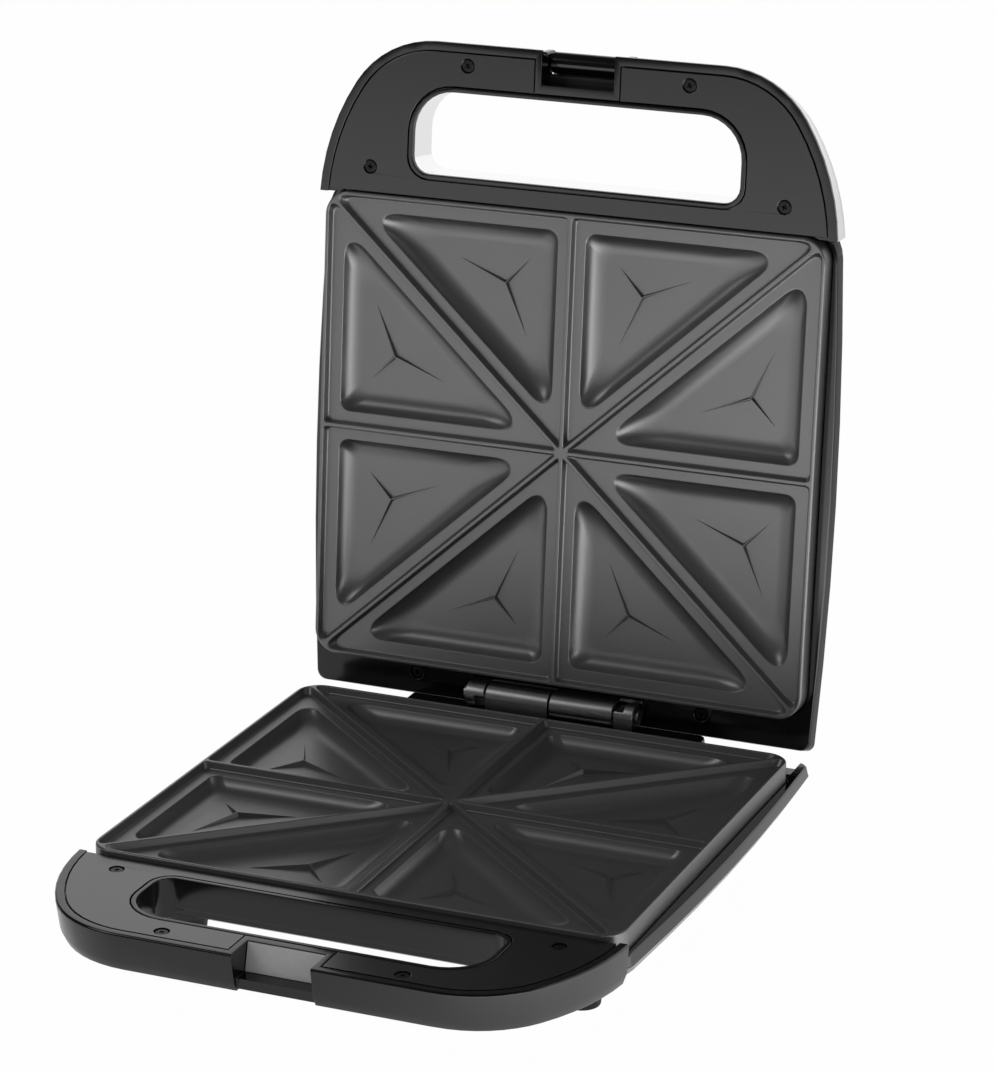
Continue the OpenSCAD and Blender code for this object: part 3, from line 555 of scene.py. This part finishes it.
def cookingPlate(s):
    start("cube", "lowerPlate", size=unitCube)
    bpy.ops.transform.resize(value=(s["halfWidth"], s["halfDepth"], s["skirt"] / 2))
    bpy.ops.transform.translate(value=(0, 0, -s["skirt"] / 2000))
    choose("edges", lambda e: abs(e.verts[0].co.z - e.verts[1].co.z) > mm)
    bpy.ops.mesh.bevel(offset=s["corner"] / 1000, segments=12, profile=0.5, affect="EDGES")
    choose("faces", lambda f: f.normal.z < -level)
    bpy.ops.mesh.inset(thickness=s["wall"] / 1000, depth=-(s["skirt"] - s["deck"]) / 1000,
                       use_even_offset=True)
    choose("edges", lambda e: all(abs(v.co.z) < flush for v in e.verts))
    bpy.ops.mesh.bevel(offset=s["edge"] / 1000, segments=3, profile=0.5, affect="EDGES")
    made = leaveEdit()
    carve(made, eightCells(s, "bowls", s["ribLand"], s["rimLand"], s["bowl"],
                           s["pocketRound"], 3), "UNION")
    carve(made, eightCells(s, "recesses", s["ribHalf"], s["rimTop"], s["recess"],
                           s["recessRound"], 4))
    carve(made, eightCells(s, "pockets", s["ribLand"], s["rimLand"], coveProfile(s),
                           s["pocketRound"], 7))
    carve(made, creaseArms(s), "UNION", own=True)
    return made


lowerPlate = cookingPlate(plate)
upperPlate = twin(lowerPlate, "upperPlate")
settle(lowerPlate, "base", "base", "nonStick", "base_cooking_plate")
settle(upperPlate, "lid", "lid", "nonStick", "lid_cooking_plate")
print("cooking plates made:", len(lowerPlate.data.polygons), "faces each")


faceJoint = {"gap": 0.3, "steep": 0.2}  # added round the inset faces, on their sides
shells = {  # node: piece, half, body, finish, width of its eased edges
    "base_shell": ("lowerHousing", "base", "base", "blackShell", 0.35),
    "base_handle_plate": ("lowerFace", "base", "base", "blackFace", 0.22),
    "lid_handle_plate": ("upperFace", "lid", "lid", "blackFace", 0.22),
    "lid_cover": ("metalCover", "lid", "lid", "coverSteel", 0.3),
    "latch_clip": ("latchClip", "lid", "latch", "blackShell", 0.35),
    "base_hinge_leaf": ("lowerLeaf", "base", "base", "gunMetal", 0.3),
    "lid_hinge_leaf": ("upperLeaf", "lid", "lid", "gunMetal", 0.3),
    "rubber_feet": ("feet", "base", "base", "rubber", 0.6),
    "base_bottom_cover": ("bottomCover", "base", "base", "blackMatt", 0.3),
    "cord_gland": ("leadBushing", "base", "base", "rubber", 0.4),
}
for node, (name, half, body, finish, width) in shells.items():
    piece = softened(node, name, half, width)
    if finish == "blackFace":
        focus(piece, edit=True)
        choose("faces", lambda f: abs(f.normal.z) < faceJoint["steep"])
        bpy.ops.transform.shrink_fatten(value=-faceJoint["gap"] / 1000, use_even_offset=True)
        leaveEdit()
    settle(piece, half, body, finish, node)
print("mouldings eased:", len(shells))

# the trim of the lid's notch round the latch, a matt black block behind the latch roll as painted
# shade, and a pale face in the base's recess as a painted reflection
notch = {"x": 18, "cheek": 5, "pin": (-181.5, -17), "roll": 5, "back": -172.5,
         "shadeBlockGap": 0.35, "shadeBlockFront": 3.6, "shadeBlockBack": 3.9, "cheekDown": 4,
         "cheekFront": 8, "cheekBack": 4.6, "cheekReach": 0.4, "cheekGap": 0.05,
         "shadeBlockOver": 0.5, "shadeBlockRound": 0.5, "cheekRound": 1.5, "paintedReflectionRound": 0.1,
         "paintedReflection": ((-172.45, -2.6), (-175.35, -14.9)), "paintedReflectionThick": 0.3, "paintedReflectionGap": 0.3}


def block(name, x, y, z, edge):  # a box from its limits in millimetres
    start("cube", name, size=unitCube)
    bpy.ops.transform.resize(value=((x[1] - x[0]) / 2, (y[1] - y[0]) / 2, (z[1] - z[0]) / 2))
    bpy.ops.transform.translate(value=((x[0] + x[1]) / 2000, (y[0] + y[1]) / 2000,
                                       (z[0] + z[1]) / 2000))
    bpy.ops.mesh.select_all(action="SELECT")
    bpy.ops.mesh.bevel(offset=edge / 1000, segments=4, profile=0.5, affect="EDGES")
    return leaveEdit()


def latchNotch(s):
    y, z = s["pin"]
    # painted shade: a matt black block closes the notch behind the latch roll, so the space there
    # renders black
    shadeBlock = block("latchShadeBlock", (-s["x"] - s["shadeBlockOver"], s["x"] + s["shadeBlockOver"]),
                 (y + s["roll"] + s["shadeBlockGap"], s["back"] + s["shadeBlockOver"]),
                 (z - s["shadeBlockBack"], z + s["shadeBlockFront"]), s["shadeBlockRound"])
    settle(shadeBlock, "lid", "lid", "blackMatt")
    for name, way in (("leftCheek", -1), ("rightCheek", 1)):
        x = sorted((way * (s["x"] + s["cheekGap"]), way * (s["x"] + s["cheek"])))
        cheek = block(name, x, (y - s["roll"] - s["cheekReach"], y + s["cheekDown"]),
                      (z - s["cheekBack"], z + s["cheekFront"]), s["cheekRound"])
        settle(cheek, "lid", "lid", "blackShell")
    # a thin pale face on the recess wall, a painted reflection and not a part of the toaster
    (y0, z0), (y1, z1) = s["paintedReflection"]
    lean = math.atan2(y0 - y1, z0 - z1)
    paintedReflection = block("paintedReflectionFace", (-s["x"] + s["paintedReflectionGap"], s["x"] - s["paintedReflectionGap"]),
                   (-s["paintedReflectionThick"], 0), (-math.hypot(y0 - y1, z0 - z1), 0),
                   s["paintedReflectionRound"])
    paintedReflection.matrix_world = (Matrix.Translation((0, y0 / 1000, z0 / 1000))
                           @ Matrix.Rotation(-lean, 4, "X"))
    settle(paintedReflection, "base", "base", "paintedReflection")


latchNotch(notch)


# the lid's moulding; the liner of its finger hole is bright from a few millimetres in
liner = {"from": -4.5, "halfWidth": 83, "back": -125, "front": -168, "steep": 0.3,
         "edge": 0.3}


def lidMoulding(s):
    piece = softened("lid_frame", "upperHousing", "lid", s["edge"])
    piece.data.materials.clear()
    for name in ("blackShell", "brightLiner"):
        piece.data.materials.append(finishes[name])

    def inHole(f):
        m = middle(f) * 1000
        inward = f.normal.x * m.x + f.normal.y * (m.y - (s["back"] + s["front"]) / 2)
        return (abs(f.normal.z) < s["steep"] and abs(m.x) < s["halfWidth"]
                and s["front"] < m.y < s["back"] and inward < 0)

    focus(piece, edit=True)
    choose("faces", inHole)
    bpy.ops.mesh.bisect(plane_co=(0, 0, s["from"] / 1000), plane_no=(0, 0, 1))
    choose("faces", lambda f: inHole(f) and middle(f).z < s["from"] / 1000)
    piece.active_material_index = 1
    bpy.ops.object.material_slot_assign()
    leaveEdit()
    return piece


upperHousing = lidMoulding(liner)
putDown(upperHousing, "lid")
handOver(upperHousing, "lid", "lid_frame")
print("lid moulding and latch notch made")


screwSizes = {"head": 3, "headHeight": 1.5, "edge": 0.45, "shank": 1.5, "lift": 0.05,
              "cross": (3.6, 0.75, 1.1), "slotFoot": 0.55, "hub": 1.0, "dimple": (1.6, 0.6),
              "turn": (0.35, 0.7)}  # of the first cross, and from each to the next


def crossScrew(s, length):  # head down to z = 0, shank below it
    start("cylinder", "screw", vertices=32, radius=s["head"] / 1000,
          depth=s["headHeight"] / 1000)
    bpy.ops.transform.translate(value=(0, 0, (s["headHeight"] / 2 + s["lift"]) / 1000))
    top = (s["headHeight"] + s["lift"]) / 1000
    choose("edges", lambda e: all(abs(v.co.z - top) < flush for v in e.verts))
    bpy.ops.mesh.bevel(offset=s["edge"] / 1000, segments=3, profile=0.5, affect="EDGES")
    choose("faces", lambda f: f.normal.z < -level)
    bpy.ops.mesh.inset(thickness=(s["head"] - s["shank"]) / 1000)
    bpy.ops.mesh.extrude_region_move(TRANSFORM_OT_translate={
        "value": (0, 0, -length / 1000)})
    made = leaveEdit()
    long, wide, deep = s["cross"]
    for turn in (0, math.pi / 2):
        start("cube", "slot", size=mm)
        bpy.ops.transform.resize(value=(long, wide, 2 * deep))
        bpy.ops.transform.rotate(value=turn, orient_axis="Z", center_override=(0, 0, 0))
        bpy.ops.transform.translate(value=(0, 0, top))
        choose("faces", lambda f: f.normal.z < -level)
        bpy.ops.transform.resize(value=(s["slotFoot"], s["slotFoot"], 1))
        carve(made, leaveEdit())
    tall, sunk = s["dimple"]
    start("cone", "dimple", vertices=16, radius1=s["hub"] / 1000, radius2=0,
          depth=tall / 1000)
    bpy.ops.transform.rotate(value=math.pi, orient_axis="X", center_override=(0, 0, 0))
    bpy.ops.transform.translate(value=(0, 0, top - sunk / 1000))
    carve(made, leaveEdit())
    return made


def screwSet(s, name, half, node, length, spots, down):
    first = crossScrew(s, length)
    turn, step = s["turn"]
    made = []
    for n, (x, y, z) in enumerate(spots):
        made.append(twin(first, name))
        made[-1].data.transform(Matrix.Translation((x / 1000, y / 1000, z / 1000))
                                @ Matrix.Rotation(step * n + turn, 4, "Z")
                                @ Matrix.Rotation(math.pi if down else 0, 4, "X"))
    bpy.data.objects.remove(first)
    settle(merge(made, name), half, half, "blackOxide", node)


faceSpots = ((103.2, -126.7), (54.9, -178.2))
screws = {  # half, node, length, seat, whether the head is down, places on one side
    "lowerFaceScrews": ("base", "base_handle_screws", 9, -4.06, False, faceSpots),
    "upperFaceScrews": ("lid", "lid_handle_screws", 9, -4.06, False, faceSpots),
    "lidBossScrews": ("lid", "lid_boss_screws", 12, -10.4, False, ((73.4, 119.8),)),
    "bottomScrews": ("base", "bottom_screws", 9, -38.6, True,
                     ((60, -66.07), (60, 94.07), (100, 10))),
}
for name, (half, node, length, seat, down, spots) in screws.items():
    screwSet(screwSizes, name, half, node, length,
             [(side * x, y, seat) for side in (1, -1) for x, y in spots], down)
print("screws made")


# glossy rays see their own world and floor, darker or brighter than the camera's white
light = {
    "world": 0.3, "whiteBehind": 0.95, "greyBefore": 0.06, "brightRight": 0.9,
    "skyBehind": (0.5, 0.85), "skyRight": ((-0.25, 0.2), (0.45, 0.8)),  # across y, then x
    "ceiling": 0.85, "ceilingSoft": 0.35,
    "floorFront": 1.9, "floorBack": 0.9, "floorCard": 3.0,
    "near": 0.4, "far": (0.3, 0.8), "behind": (-0.1, 0.25),
    "left": (0.5, 1.1), "leftLean": 0.3, "leftLoss": 0.2,
    "cardWay": (0.80, 0.60), "cardFrom": (0.12, 0.40), "cardHalf": 0.75, "cardSoft": 0.35,
    "glow": 0.985, "mirror": 0.9,
}
ground = {"size": 12, "drop": 0.0005, "dust": 0.3, "rough": 0.9,
          "colours": ((0.86, 0.86, 0.86), (0.88, 0.88, 0.88))}


def seenBy(t):  # camera rays, and glossy or transmitted ones
    path = [t.node("ShaderNodeLightPath", {}, {}, k)
            for k in ("Is Camera Ray", "Is Glossy Ray", "Is Transmission Ray")]
    return path[0], path[1].over(path[2])


def makeWorld(s):
    world = bpy.data.worlds.new("surroundings")
    scene.world = world
    t = Tree(world)
    camera, glossy = seenBy(t)
    x, y, z = t.parts(t.node("ShaderNodeTexCoord", {}, {}, "Generated"))
    low = t.ramp(s["ceiling"] - z, 0, s["ceilingSoft"])
    rightY, rightX = s["skyRight"]
    spread = (t.ramp(y, *s["skyBehind"]) * s["whiteBehind"] * low + s["greyBefore"]
              + t.ramp(y, *rightY) * t.ramp(x, *rightX) * s["brightRight"] * low)
    soft = t.light("ShaderNodeBackground", s["world"])
    mirrored = t.light("ShaderNodeBackground", spread)
    white = t.light("ShaderNodeBackground", 1.0)
    shown = t.node("ShaderNodeMixShader", {}, {0: glossy, 1: soft, 2: mirrored})
    t.output(t.node("ShaderNodeMixShader", {}, {0: camera, 1: shown, 2: white}),
             "ShaderNodeOutputWorld")


def makeFloor(s, g):
    start("plane", "floor", size=g["size"])
    bpy.ops.transform.translate(value=(0, 0, -g["drop"]))
    floor = leaveEdit()

    def build(t):
        matt = t.shader({"Base Color": t.colours(t.noise(g["dust"], 2), *g["colours"]),
                         "Roughness": g["rough"]})
        glow = t.light("ShaderNodeEmission", 1.0)
        camera, glossy = seenBy(t)
        x, y, _ = t.parts(t.place())
        a, b = s["cardWay"]
        along, across = x * a - y * b, x * b + y * a
        card = (t.ramp(along, *s["cardFrom"])
                * t.ramp(s["cardHalf"] - across.over(0 - across), 0, s["cardSoft"]))
        left = t.ramp(0 - x - y * s["leftLean"], *s["left"])
        far = t.ramp(0 - y, *s["far"])
        behind = t.ramp(y, *s["behind"])
        front = s["floorFront"] * (s["near"] + far * (1 - s["near"]))
        mirrored = (front * (1 - left * s["leftLoss"]) * (1 - behind)
                    + behind * s["floorBack"] + card * s["floorCard"])
        bright = t.light("ShaderNodeEmission", mirrored)
        shown = t.node("ShaderNodeMixShader", {}, {0: camera * s["glow"], 1: matt, 2: glow})
        return t.node("ShaderNodeMixShader", {},
                      {0: glossy * s["mirror"], 1: shown, 2: bright})

    floor.data.materials.append(material("paleFloor", build))


def makeLamp(name, place, size, power):
    data = bpy.data.lights.new(name, "AREA")
    data.shape = "RECTANGLE"
    data.size, data.size_y = size
    data.energy = power
    lamp = bpy.data.objects.new(name, data)
    scene.collection.objects.link(lamp)
    lamp.location = place
    lamp.rotation_mode = "QUATERNION"
    lamp.rotation_quaternion = (Vector(lampAim) - Vector(place)).to_track_quat("-Z", "Y")


lampAim = (0, 0, 0.15)
lamps = {  # place, width and height, power
    "frontRightBox": ((1.25, -0.85, 0.30), (0.4, 0.5), 0.7),
    "highLeftBox": ((-1.3, -1.0, 1.5), (0.9, 0.9), 6),
}
makeWorld(light)
makeFloor(light, ground)
for name, (place, size, power) in lamps.items():
    makeLamp(name, place, size, power)
print("stage set")
